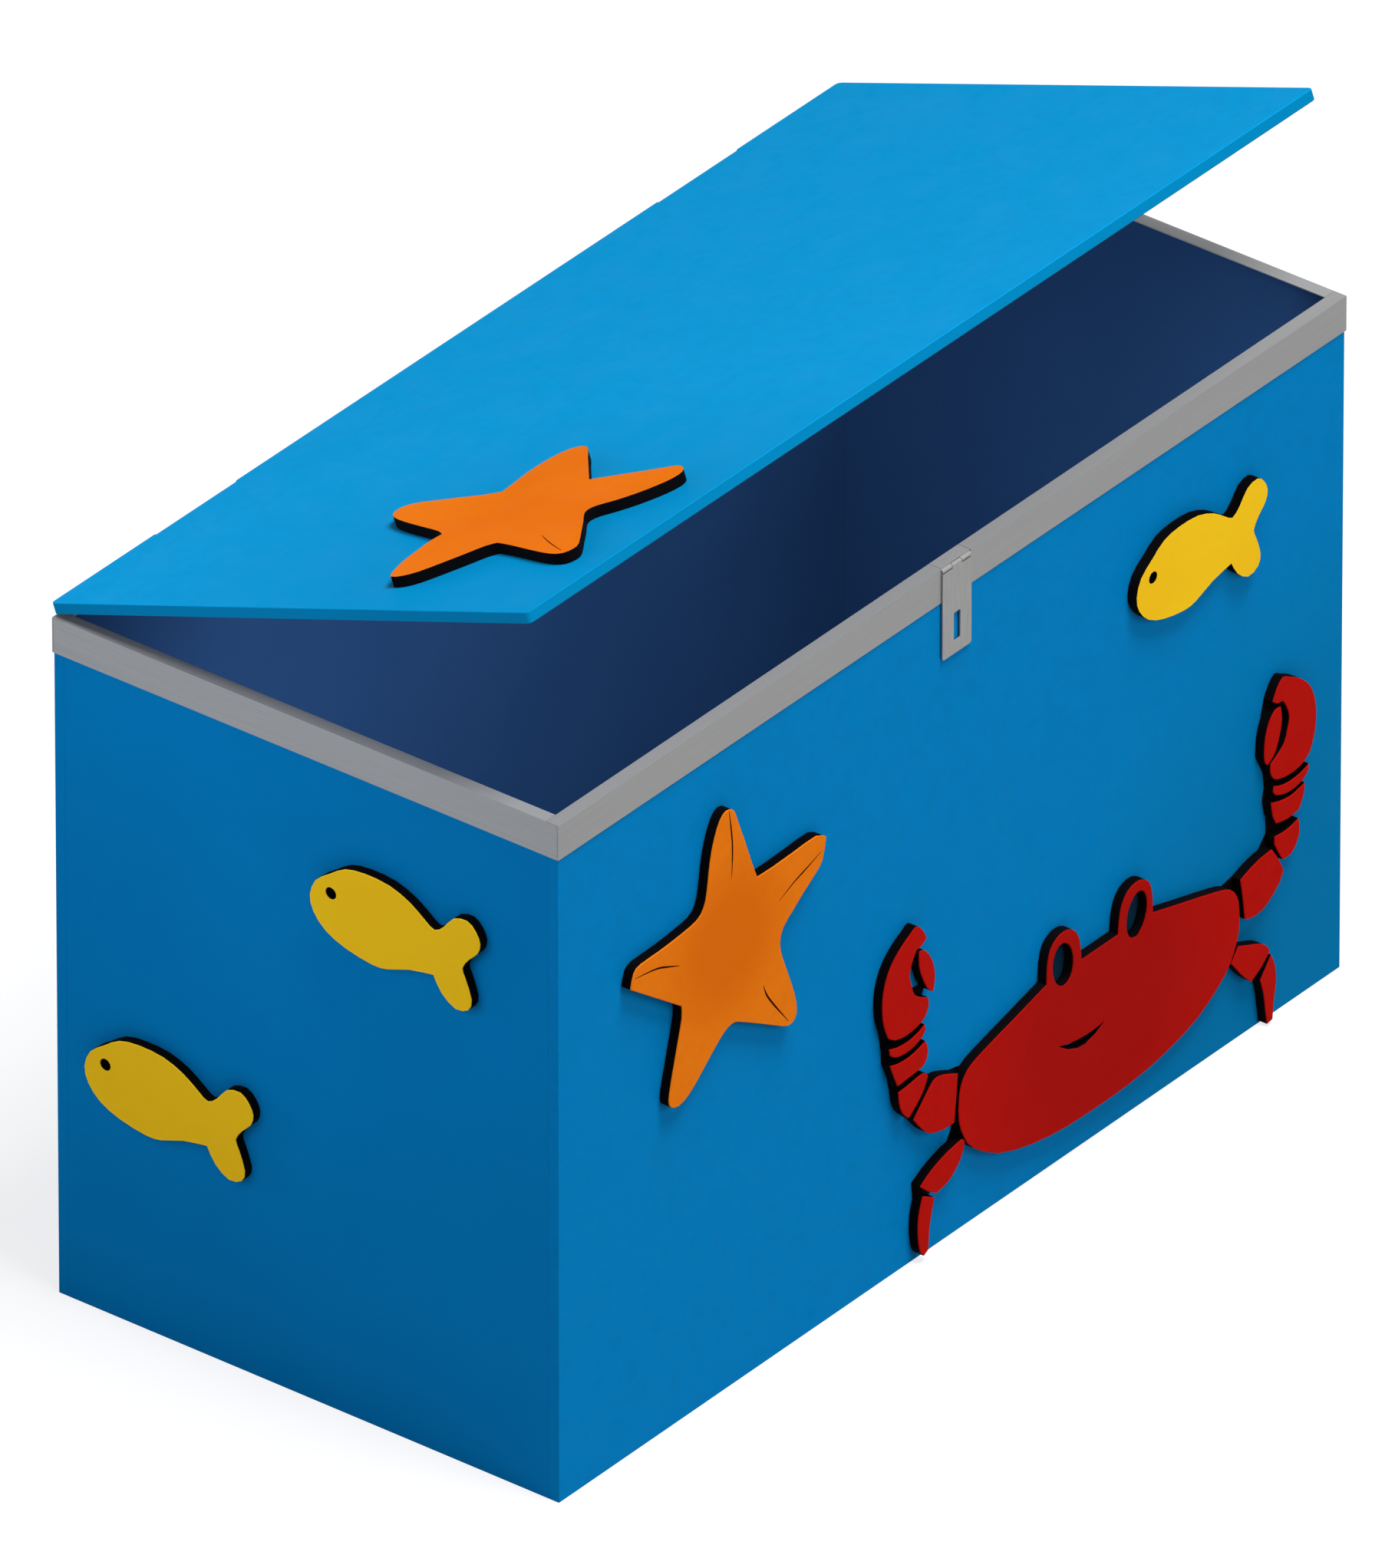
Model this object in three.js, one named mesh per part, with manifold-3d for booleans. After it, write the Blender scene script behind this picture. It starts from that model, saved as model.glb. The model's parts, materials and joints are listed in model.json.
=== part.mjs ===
// A painted toy chest: a plywood box with a metal edge trim, a lid on two back hinges that stays
// where it is put, a slotted hasp strap at the front, and wooden sea animals glued to its faces.
//
// Millimetres, +Z up, +X to the right of someone facing the front, +Y towards the back.
// The origin is on the floor, under the middle of the box. The lid is drawn part open.

import * as THREE from 'three';
import { mergeVertices } from 'three/addons/utils/BufferGeometryUtils.js';
import Module from 'manifold-3d';

// Box
const boxLength = 914.4;
const boxDepth = 455.5;
const wallHeight = 567.1;
const boardThickness = 9;
const glueLine = 0.1;
const turnedGap = 0.3;

// Battens under the bottom board
const battenWidth = 18;
const battenHeight = 20;

// Metal angle over the top edge of each wall
const trimThickness = 0.8;
const trimFace = 29;
const trimFlange = 11;

// Lid
const lidThickness = 9;
const lidGap = 0.5;
const lidEndInset = 1.5;
const lidOverhang = 1.5;
const lidCorner = 4;
const lidRestAngle = 19.8;

// Back hinges
const hingeLength = 90;
const hingeFromEnd = 167;
const hingeLeafThickness = 1.5;
const hingeWallReach = 24;
const hingeLidReach = 28;
const hingePinRadius = 1.5;
const hingeKnuckleRadius = 2.9;
const hingeKnuckles = 5;
const hingePinHeadRadius = 2.3;
const hingePinHeadLength = 1.2;
const hingeCorner = 4;

// Hasp
const haspWidth = 33.5;
const haspReach = 73.8;
const haspDrop = 3.2;
const haspThickness = 1.2;
const haspCorner = 2;
const haspPinRadius = 0.8;
const haspKnuckleRadius = 1.9;
const haspKnuckles = 3;
const haspLeafReach = 19;
const slotWidth = 7.6;
const slotLength = 23.6;
const slotFromEnd = 22.3;
const slotCorner = 1;

// Clearances of turning and let-in pieces
const knuckleGap = 0.4;
const pinClearance = 0.1;
const pocketGap = 0.3;
const pilotClearance = 0.1;
const cutOverrun = 5;

// Countersunk screws
const hingeScrew = { headRadius: 3.1, headDepth: 1.3, shankRadius: 1.6, length: 8, point: 2 };
const haspScrew = { headRadius: 2.2, headDepth: 1.1, shankRadius: 1.1, length: 8, point: 1.6 };
const screwSlotShare = 0.22;
const screwSlotDepthShare = 0.5;
const screwInsetShare = 0.16;
const screwRowShare = 0.62;

// Sea animals, cut from one thickness of board
const figureThickness = 8.5;

const starReach = 125;
const fishBody = 111;
const fishEyeRadius = 4.8;
const crabBody = 331;
const crabLift = 6;

// Where the animals' middles sit, as shares of the length or depth and of the height of the face
// that carries them. Across the left side, and up the lid, they count from the front.
const starOnFrontShares = [0.2037, 0.6599];
const starOnLidShares = [0.1641, 0.2777];
const fishOnFrontShares = [0.7833, 0.7746];
const upperFishOnLeftShares = [0.3522, 0.7591];
const lowerFishOnLeftShares = [0.8049, 0.3656];
const crabOnFrontShare = 0.6760;

// How finely round work is faceted
const pinSideCount = 20;
const holeSideCount = 16;
const cornerStepCount = 3;
const smileStepCount = 5;
const splineStepCount = 2;
const eyeSideCount = 18;

// Starfish outlines, as shares of starReach from their middles. Each run is smooth, and the runs
// meet in corners.
const frontStarShares = [
  [
    [0.255, 0.378], [0.205, 0.500], [0.135, 0.690], [0.080, 0.830], [0.045, 0.920], [-0.005, 0.955],
    [-0.060, 0.950], [-0.115, 0.885], [-0.165, 0.760], [-0.192, 0.630], [-0.212, 0.500], [-0.238, 0.415],
    [-0.300, 0.360], [-0.440, 0.338], [-0.640, 0.324], [-0.820, 0.320], [-0.885, 0.290], [-0.915, 0.195],
  ],
  [[-0.915, 0.195], [-0.445, -0.145]],
  [
    [-0.445, -0.145], [-0.442, -0.230], [-0.480, -0.380], [-0.520, -0.530], [-0.555, -0.670],
    [-0.560, -0.750], [-0.510, -0.795], [-0.430, -0.795], [-0.330, -0.740], [-0.200, -0.630],
    [-0.090, -0.540], [-0.015, -0.498], [0.050, -0.496], [0.130, -0.535], [0.290, -0.625],
    [0.440, -0.712], [0.540, -0.762], [0.605, -0.745], [0.622, -0.680], [0.600, -0.570],
    [0.545, -0.420], [0.487, -0.270], [0.466, -0.170], [0.495, -0.080], [0.590, -0.005],
    [0.700, 0.075], [0.800, 0.140], [0.860, 0.200], [0.893, 0.335],
  ],
  [[0.893, 0.335], [0.800, 0.384], [0.600, 0.380], [0.400, 0.374], [0.255, 0.378]],
];
const lidStarShares = [
  [
    [0.270, 0.365], [0.225, 0.460], [0.185, 0.600], [0.140, 0.750], [0.105, 0.860], [0.060, 0.928],
    [-0.005, 0.948], [-0.075, 0.918], [-0.130, 0.830], [-0.185, 0.680], [-0.235, 0.520],
    [-0.275, 0.400], [-0.315, 0.338],
  ],
  [
    [-0.315, 0.338], [-0.400, 0.352], [-0.540, 0.342], [-0.690, 0.324], [-0.820, 0.288],
    [-0.895, 0.245], [-0.880, 0.165], [-0.820, 0.095], [-0.710, 0.025], [-0.570, -0.055],
    [-0.460, -0.115], [-0.415, -0.170],
  ],
  [
    [-0.415, -0.170], [-0.440, -0.280], [-0.480, -0.420], [-0.520, -0.560], [-0.548, -0.690],
    [-0.535, -0.770], [-0.470, -0.800], [-0.400, -0.780], [-0.260, -0.680], [-0.110, -0.572],
    [-0.015, -0.498], [0.050, -0.472], [0.110, -0.495], [0.180, -0.570], [0.280, -0.652],
    [0.390, -0.715], [0.490, -0.752], [0.580, -0.753], [0.645, -0.705], [0.663, -0.645],
    [0.635, -0.580], [0.580, -0.450], [0.515, -0.290], [0.455, -0.145],
  ],
  [
    [0.455, -0.145], [0.600, -0.020], [0.750, 0.110], [0.865, 0.205], [0.903, 0.262],
    [0.880, 0.325], [0.800, 0.368], [0.670, 0.392], [0.540, 0.393], [0.400, 0.378], [0.270, 0.365],
  ],
];

// Fish outline, as shares of fishBody from the middle of the body. The head points to -x. It is one
// smooth run from the corner below the tail, round the tail and the head, and back to it.
const fishShares = [
  [0.490, -0.214], [0.558, -0.325], [0.670, -0.401], [0.774, -0.371], [0.800, -0.283],
  [0.752, -0.144], [0.727, -0.072], [0.779, 0.009], [0.850, 0.081], [0.872, 0.162],
  [0.835, 0.243], [0.765, 0.297], [0.657, 0.275], [0.575, 0.180], [0.500, 0.128], [0.420, 0.175],
  [0.300, 0.257], [0.135, 0.320], [-0.063, 0.333], [-0.225, 0.306], [-0.351, 0.224],
  [-0.466, 0.135], [-0.514, 0.009], [-0.485, -0.108], [-0.387, -0.216], [-0.225, -0.288],
  [-0.009, -0.328], [0.117, -0.316], [0.297, -0.250], [0.490, -0.214],
];
const fishEyeShares = [-0.342, 0.081];

// Crab outlines, as shares of crabBody: across from its middle, and up from the tip of its left leg.
// These are its left half, and the right half mirrors them, apart from the limb pieces that have
// an outline of their own below.
const crabFlankShares = [
  [0, 0.077], [-0.116, 0.080], [-0.236, 0.096], [-0.356, 0.131], [-0.446, 0.189],
  [-0.480, 0.234], [-0.498, 0.284], [-0.498, 0.338], [-0.490, 0.372], [-0.466, 0.401],
  [-0.416, 0.420], [-0.296, 0.451], [-0.189, 0.479],
];
const crabStalkShares = [
  [-0.189, 0.479], [-0.187, 0.526], [-0.176, 0.563], [-0.153, 0.581], [-0.128, 0.586],
  [-0.098, 0.577], [-0.077, 0.552], [-0.068, 0.518], [-0.065, 0.483],
];
const crabEyeShares = { across: 0.131, up: 0.503, long: 0.056, short: 0.036 };
const crabEyeTiltAngle = 10;
const crabSmileShares = {
  left: [-0.144, 0.299],
  right: [0.020, 0.286],
  lower: [-0.063, 0.229],
  upper: [-0.063, 0.273],
};

// Each limb piece: corners with the share of the radius there, or smooth runs between corners.
const crabLimbShares = {
  shoulder: [
    [[-0.5145, 0.288], [-0.508, 0.348], [-0.5025, 0.408]],
    [
      [-0.5025, 0.408], [-0.5355, 0.423], [-0.5655, 0.4335], [-0.5895, 0.432], [-0.6195, 0.405],
      [-0.6585, 0.366],
    ],
    [
      [-0.6585, 0.366], [-0.6405, 0.342], [-0.6165, 0.315], [-0.5925, 0.300], [-0.5535, 0.2895],
      [-0.5145, 0.288],
    ],
  ],
  forearm: [
    [[-0.7125, 0.462], [-0.6705, 0.465], [-0.6255, 0.4695], [-0.6075, 0.456]],
    [[-0.6075, 0.456], [-0.6225, 0.426], [-0.6495, 0.399], [-0.6765, 0.3795]],
    [[-0.6765, 0.3795], [-0.6975, 0.402], [-0.7095, 0.432], [-0.7125, 0.462]],
  ],
  wrist: [
    [[-0.7425, 0.5445], [-0.7155, 0.537], [-0.6765, 0.534], [-0.6405, 0.540], [-0.6165, 0.5475]],
    [[-0.6165, 0.5475], [-0.6075, 0.522], [-0.6135, 0.498], [-0.6285, 0.486]],
    [[-0.6285, 0.486], [-0.6705, 0.483], [-0.7155, 0.480]],
    [[-0.7155, 0.480], [-0.7275, 0.507], [-0.7425, 0.5445]],
  ],
  cuff: [
    [[-0.7455, 0.588], [-0.7155, 0.579], [-0.6765, 0.576], [-0.6405, 0.582], [-0.6195, 0.591]],
    [[-0.6195, 0.591], [-0.6165, 0.5775], [-0.627, 0.564]],
    [[-0.627, 0.564], [-0.6555, 0.5535], [-0.6915, 0.5505], [-0.7245, 0.558], [-0.7425, 0.5715]],
    [[-0.7425, 0.5715], [-0.7455, 0.588]],
  ],
  claw: [
    [
      [-0.7485, 0.618], [-0.7245, 0.6015], [-0.6855, 0.594], [-0.6465, 0.5985], [-0.6195, 0.609],
      [-0.606, 0.633], [-0.6075, 0.654],
    ],
    [
      [-0.6075, 0.654], [-0.6315, 0.666], [-0.6555, 0.684], [-0.666, 0.711], [-0.6735, 0.741],
      [-0.6645, 0.771], [-0.6495, 0.795],
    ],
    [[-0.6495, 0.795], [-0.6285, 0.798], [-0.6135, 0.810]],
    [
      [-0.6135, 0.810], [-0.6285, 0.837], [-0.6495, 0.855], [-0.6705, 0.846], [-0.7035, 0.828],
      [-0.7365, 0.801], [-0.759, 0.765], [-0.7695, 0.720], [-0.768, 0.675], [-0.759, 0.642],
      [-0.7485, 0.618],
    ],
  ],
  thumb: [
    [
      [-0.591, 0.660], [-0.5835, 0.696], [-0.5895, 0.732], [-0.6045, 0.762], [-0.624, 0.783],
      [-0.6405, 0.786],
    ],
    [[-0.6405, 0.786], [-0.6405, 0.750], [-0.6285, 0.714], [-0.6105, 0.678], [-0.591, 0.660]],
  ],
  thigh: [
    [[-0.6345, 0.183], [-0.6105, 0.198], [-0.5805, 0.2115], [-0.5355, 0.225], [-0.4875, 0.2325]],
    [
      [-0.4875, 0.2325], [-0.477, 0.2205], [-0.4905, 0.186], [-0.5235, 0.1545], [-0.5535, 0.1425],
      [-0.5775, 0.1395],
    ],
    [[-0.5775, 0.1395], [-0.6045, 0.156], [-0.6345, 0.183]],
  ],
  shin: [
    [[-0.6255, 0.1545], [-0.5835, 0.132]],
    [[-0.5835, 0.132], [-0.5925, 0.102], [-0.6015, 0.060], [-0.6045, 0.009]],
    [[-0.6045, 0.009], [-0.621, 0]],
    [[-0.621, 0], [-0.6345, 0.018], [-0.642, 0.057], [-0.642, 0.096], [-0.636, 0.126], [-0.6255, 0.1545]],
  ],
};

const crabRightLimbShares = {
  shoulder: [
    [[0.5015, 0.408], [0.5105, 0.357], [0.518, 0.300]],
    [[0.518, 0.300], [0.545, 0.291], [0.584, 0.294], [0.620, 0.315], [0.644, 0.336], [0.656, 0.360]],
    [[0.656, 0.360], [0.638, 0.396], [0.614, 0.432]],
    [[0.614, 0.432], [0.575, 0.429], [0.536, 0.420], [0.5015, 0.408]],
  ],
  forearm: [
    [[0.623, 0.4595], [0.659, 0.4565], [0.686, 0.4595], [0.709, 0.4655]],
    [[0.709, 0.4655], [0.713, 0.429], [0.695, 0.396], [0.674, 0.386], [0.653, 0.387]],
    [[0.653, 0.387], [0.638, 0.411], [0.623, 0.440]],
    [[0.623, 0.440], [0.623, 0.4595]],
  ],
  wrist: [
    [[0.6095, 0.5525], [0.644, 0.542], [0.686, 0.5375], [0.731, 0.5465]],
    [[0.731, 0.5465], [0.727, 0.5195], [0.710, 0.488]],
    [[0.710, 0.488], [0.671, 0.4835], [0.629, 0.491]],
    [[0.629, 0.491], [0.6155, 0.5165], [0.6095, 0.5525]],
  ],
  thumb: [
    [[0.596, 0.656], [0.623, 0.676], [0.6395, 0.715], [0.647, 0.751], [0.6425, 0.784]],
    [
      [0.6425, 0.784], [0.623, 0.785], [0.602, 0.766], [0.5885, 0.733], [0.584, 0.697],
      [0.5855, 0.670], [0.596, 0.656],
    ],
  ],
  thigh: [
    [[0.4955, 0.2415], [0.536, 0.225], [0.575, 0.209], [0.599, 0.191], [0.608, 0.174]],
    [[0.608, 0.174], [0.578, 0.147], [0.542, 0.1275]],
    [[0.542, 0.1275], [0.515, 0.153], [0.491, 0.183], [0.470, 0.209]],
    [[0.470, 0.209], [0.4955, 0.2415]],
  ],
  shin: [
    [[0.575, 0.114], [0.614, 0.162]],
    [[0.614, 0.162], [0.629, 0.126], [0.632, 0.084], [0.6245, 0.042], [0.620, -0.007]],
    [[0.620, -0.007], [0.6005, -0.010]],
    [[0.6005, -0.010], [0.593, 0.036], [0.587, 0.075], [0.575, 0.114]],
  ],
};

// Sizes that follow from the ones above
const trimOut = glueLine + trimThickness;
const trimInner = trimOut - trimFlange;
const rimTop = wallHeight + trimOut;
const hingeAxisOut = glueLine + hingeKnuckleRadius;
const hingeAxisHeight = rimTop + lidGap + hingeLeafThickness / 2;
const hingeX = boxLength / 2 - hingeFromEnd;
const haspAxisOut = trimOut + turnedGap + haspThickness - haspKnuckleRadius;
const haspAxisHeight = rimTop - haspDrop;
const lidUnderside = -hingeLeafThickness / 2;
const lidDepth = boxDepth + 2 * lidOverhang;
const lidBack = lidOverhang - hingeAxisOut;

// Colours and finishes
function finish(color, roughness, metalness) {
  return new THREE.MeshStandardMaterial({ color, roughness, metalness });
}
const bluePaint = finish(0x0c96d5, 0.5, 0);
const navyPaint = finish(0x2c4673, 0.6, 0);
const greyMetal = finish(0x9a9b9c, 0.45, 0.8);
const steel = finish(0xb4b6b8, 0.35, 1);
const orangePaint = finish(0xf4801b, 0.5, 0);
const yellowPaint = finish(0xfdbc2b, 0.5, 0);
const redPaint = finish(0xb01812, 0.5, 0);

const wasm = await Module();
wasm.setup();

function solidOf(geometry) {
  const bare = geometry.clone();
  bare.deleteAttribute('normal');
  bare.deleteAttribute('uv');
  const merged = mergeVertices(bare);
  const mesh = new wasm.Mesh({
    numProp: 3,
    vertProperties: new Float32Array(merged.attributes.position.array),
    triVerts: new Uint32Array(merged.index.array),
  });
  return new wasm.Manifold(mesh);
}

function geometryOf(solid) {
  const mesh = solid.getMesh();
  const geometry = new THREE.BufferGeometry();
  geometry.setAttribute('position', new THREE.BufferAttribute(new Float32Array(mesh.vertProperties), 3));
  geometry.setIndex(new THREE.BufferAttribute(new Uint32Array(mesh.triVerts), 1));
  geometry.computeVertexNormals();
  return geometry;
}

// A box between two corners
function block(low, high) {
  const size = high.map((value, i) => value - low[i]);
  const middle = high.map((value, i) => (value + low[i]) / 2);
  return new THREE.BoxGeometry(...size).translate(...middle);
}

// A cylinder along the x axis between two places on it
function rod(radius, from, to, sides) {
  const geometry = new THREE.CylinderGeometry(radius, radius, to - from, sides);
  return geometry.rotateZ(-Math.PI / 2).translate((from + to) / 2, 0, 0);
}

function cut(geometry, cutters) {
  let solid = solidOf(geometry);
  for (const cutter of cutters) {
    solid = solid.subtract(solidOf(cutter));
  }
  return geometryOf(solid);
}

function join(geometries) {
  let solid = solidOf(geometries[0]);
  for (const geometry of geometries.slice(1)) {
    solid = solid.add(solidOf(geometry));
  }
  return geometryOf(solid);
}

function add(parent, name, geometry, material, position = [0, 0, 0]) {
  const mesh = new THREE.Mesh(geometry, material);
  mesh.name = name;
  mesh.position.set(...position);
  parent.add(mesh);
  return mesh;
}

function groupIn(parent, position = [0, 0, 0]) {
  const group = new THREE.Group();
  group.position.set(...position);
  parent.add(group);
  return group;
}

// A straight-sided outline with rounded corners, each given as [x, y, radius]
function roundedOutline(corners, steps) {
  const points = [];
  corners.forEach(([x, y, radius], i) => {
    const here = new THREE.Vector2(x, y);
    const before = corners[(i + corners.length - 1) % corners.length];
    const after = corners[(i + 1) % corners.length];
    const toBefore = new THREE.Vector2(before[0], before[1]).sub(here).normalize();
    const toAfter = new THREE.Vector2(after[0], after[1]).sub(here).normalize();
    if (radius === 0) {
      points.push(here);
      return;
    }
    const half = Math.acos(toBefore.dot(toAfter)) / 2;
    const inward = toBefore.clone().add(toAfter).normalize();
    const centre = here.clone().addScaledVector(inward, radius / Math.sin(half));
    const start = here.clone().addScaledVector(toBefore, radius / Math.tan(half)).sub(centre);
    const turn = Math.sign(toAfter.cross(toBefore)) * (Math.PI - 2 * half);
    for (let step = 0; step <= steps; step += 1) {
      const spoke = start.clone().rotateAround(new THREE.Vector2(), (turn * step) / steps);
      points.push(centre.clone().add(spoke));
    }
  });
  return points;
}

// An outline of smooth runs that meet in corners, each run given by the points it passes
function splineOutline(runs, scale) {
  const points = [];
  for (const run of runs) {
    const curve = new THREE.SplineCurve(run.map(([x, y]) => new THREE.Vector2(x, y).multiplyScalar(scale)));
    const steps = run.length > 2 ? (run.length - 1) * splineStepCount : 1;
    points.push(...curve.getPoints(steps).slice(0, -1));
  }
  return points;
}

function mirrored(points) {
  return points.map((point) => new THREE.Vector2(-point.x, point.y)).reverse();
}

function ellipse(x, y, alongX, alongY, tilt, sides) {
  const curve = new THREE.EllipseCurve(x, y, alongX, alongY, 0, 2 * Math.PI, true, tilt);
  return curve.getPoints(sides).slice(0, -1);
}

// A flat piece of the given outline, its back face on z = 0
function cutOut(outline, thickness, holes = []) {
  const clockwise = THREE.ShapeUtils.isClockWise(outline);
  const shape = new THREE.Shape(clockwise ? outline.slice().reverse() : outline);
  shape.holes = holes.map((hole) => new THREE.Path(hole));
  return new THREE.ExtrudeGeometry(shape, { depth: thickness, bevelEnabled: false });
}

// A wall's own frame: x to the right as seen from outside, y up, z outwards, on its outer face
function wallFrame(parent, turn, position) {
  const turned = groupIn(parent, position);
  turned.rotation.z = turn;
  const upright = groupIn(turned);
  upright.rotation.x = Math.PI / 2;
  return upright;
}

// Screws

function screwProfile(screw, clearance) {
  const head = screw.headRadius + clearance;
  const shank = screw.shankRadius + clearance;
  return [
    [0, 0],
    [head, 0],
    [shank, -screw.headDepth - clearance],
    [shank, -screw.length + screw.point - clearance],
    [0, -screw.length - clearance],
  ].map(([x, y]) => new THREE.Vector2(x, y));
}

// A screw with its head's top on z = 0, pointing towards -z
function screwSolid(screw) {
  const profile = screwProfile(screw, 0).reverse();
  const body = new THREE.LatheGeometry(profile, holeSideCount).rotateX(Math.PI / 2);
  const slotHalf = screw.headRadius * screwSlotShare;
  const slotDepth = screw.headDepth * screwSlotDepthShare;
  const slot = block(
    [-screw.headRadius - cutOverrun, -slotHalf, -slotDepth],
    [screw.headRadius + cutOverrun, slotHalf, cutOverrun],
  );
  return cut(body, [slot]);
}

// The hole that a screw needs, open above its head
function screwHole(screw, x, y, top) {
  const hole = new THREE.LatheGeometry(screwProfile(screw, pilotClearance).reverse(), holeSideCount);
  return hole.rotateX(Math.PI / 2).translate(x, y, top);
}

// Hinge leaves

// Where a hinge's knuckles begin and end along its pin, those of one leaf only
function knuckleSpans(length, count, first) {
  const pitch = length / count;
  const spans = [];
  for (let i = first; i < count; i += 2) {
    const from = -length / 2 + i * pitch;
    spans.push([from + knuckleGap / 2, from + pitch - knuckleGap / 2]);
  }
  return spans;
}

// Two screws on a leaf, placed from its pin
function leafScrewPlaces(length, reach) {
  const inset = length * screwInsetShare;
  return [-length / 2 + inset, length / 2 - inset].map((x) => [x, -reach * screwRowShare]);
}

// A leaf with its pin along x through the origin. Its plate reaches towards -y, and lies between
// low and low + thickness in z. Extras are joined on before the pin's hole is cut.
function hingeLeaf(leaf) {
  const near = -leaf.knuckleRadius - knuckleGap;
  const corners = [
    [-leaf.length / 2, near, 0],
    [-leaf.length / 2, -leaf.reach, leaf.corner],
    [leaf.length / 2, -leaf.reach, leaf.corner],
    [leaf.length / 2, near, 0],
  ];
  const holes = leaf.slot ? [leaf.slot] : [];
  const plate = cutOut(roundedOutline(corners, cornerStepCount), leaf.thickness, holes);
  const pieces = [plate.translate(0, 0, leaf.low), ...(leaf.extras ?? [])];
  for (const [from, to] of knuckleSpans(leaf.length, leaf.knuckles, leaf.first)) {
    pieces.push(block([from, near - leaf.knuckleRadius, leaf.low], [to, 0, leaf.low + leaf.thickness]));
    pieces.push(rod(leaf.knuckleRadius, from, to, pinSideCount));
  }
  const half = leaf.length / 2 + cutOverrun;
  const cutters = [rod(leaf.pinRadius + pinClearance, -half, half, pinSideCount)];
  for (const [x, y] of leaf.screwPlaces) {
    cutters.push(screwHole(leaf.screw, x, y, leaf.low + leaf.thickness));
  }
  return cut(join(pieces), cutters);
}

// A pin along x with a round head at each end, both clear of the knuckles
function pinSolid(radius, length, headRadius, headLength) {
  const end = length / 2 + headLength;
  const profile = [
    [0, -end],
    [headRadius, -end],
    [headRadius, -length / 2],
    [radius, -length / 2],
    [radius, length / 2],
    [headRadius, length / 2],
    [headRadius, end],
    [0, end],
  ].map(([x, y]) => new THREE.Vector2(x, y));
  return new THREE.LatheGeometry(profile, pinSideCount).rotateZ(-Math.PI / 2);
}

// Places of the things that are fixed to a wall, in that wall's own frame

const wallLeafScrews = leafScrewPlaces(hingeLength, hingeWallReach);
const lidLeafScrews = leafScrewPlaces(hingeLength, hingeLidReach);
const haspLeafScrews = leafScrewPlaces(haspWidth, haspLeafReach);
const hingeNames = ['left', 'right'];

// The middle of a hinge along the back wall, which runs from right to left when seen from inside
function hingeMiddle(name) {
  return name === 'left' ? hingeX : -hingeX;
}

// Pilot holes for the hinges' screws in the back wall
function backPilots() {
  const top = glueLine + hingeLeafThickness;
  return hingeNames.flatMap((name) => wallLeafScrews.map(
    ([x, y]) => screwHole(hingeScrew, hingeMiddle(name) + x, hingeAxisHeight + y, top),
  ));
}

// The openings in the back trim's face where the hinges' leaves lie on the wall
function hingeOpenings() {
  const half = hingeLength / 2 + hingePinHeadLength + pocketGap;
  const low = hingeAxisHeight - hingeWallReach - pocketGap;
  return hingeNames.map((name) => block(
    [hingeMiddle(name) - half, low, 0],
    [hingeMiddle(name) + half, rimTop + cutOverrun, trimOut + cutOverrun],
  ));
}

function frontPilots() {
  return haspLeafScrews.map(
    ([x, y]) => screwHole(haspScrew, x, haspAxisHeight + y, glueLine + trimThickness),
  );
}

// The recess for the hasp's knuckles, in the front wall and its trim
function knuckleRecess() {
  const half = haspWidth / 2 + pocketGap;
  const depth = haspKnuckleRadius - haspAxisOut + pocketGap;
  const low = haspAxisHeight - haspKnuckleRadius - knuckleGap;
  return block([-half, low, -depth], [half, rimTop + cutOverrun, trimOut + cutOverrun]);
}

// The opening in the front trim where the hasp's leaf lies on the wall and over its top edge
function leafOpening() {
  const half = haspWidth / 2 + pocketGap;
  const low = haspAxisHeight - haspLeafReach - pocketGap;
  return block([-half, low, trimInner - cutOverrun], [half, rimTop + cutOverrun, trimOut + cutOverrun]);
}

// Box

function wallBoard(length) {
  return block([-length / 2, 0, -boardThickness], [length / 2, wallHeight, 0]);
}

// The angle over a wall's top edge. The front and back ones run through to the corners, and the
// others fit between them.
function trimSolid(wallLength, runsThrough) {
  const foot = rimTop - trimFace;
  const faceHalf = runsThrough ? wallLength / 2 + trimOut : wallLength / 2 - glueLine;
  const flangeHalf = runsThrough ? faceHalf : wallLength / 2 - glueLine + trimInner;
  return join([
    block([-faceHalf, foot, glueLine], [faceHalf, wallHeight, trimOut]),
    block([-flangeHalf, foot, glueLine], [flangeHalf, rimTop, trimOut]),
    block([-flangeHalf, wallHeight + glueLine, trimInner], [flangeHalf, rimTop, trimOut]),
  ]);
}

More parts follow.
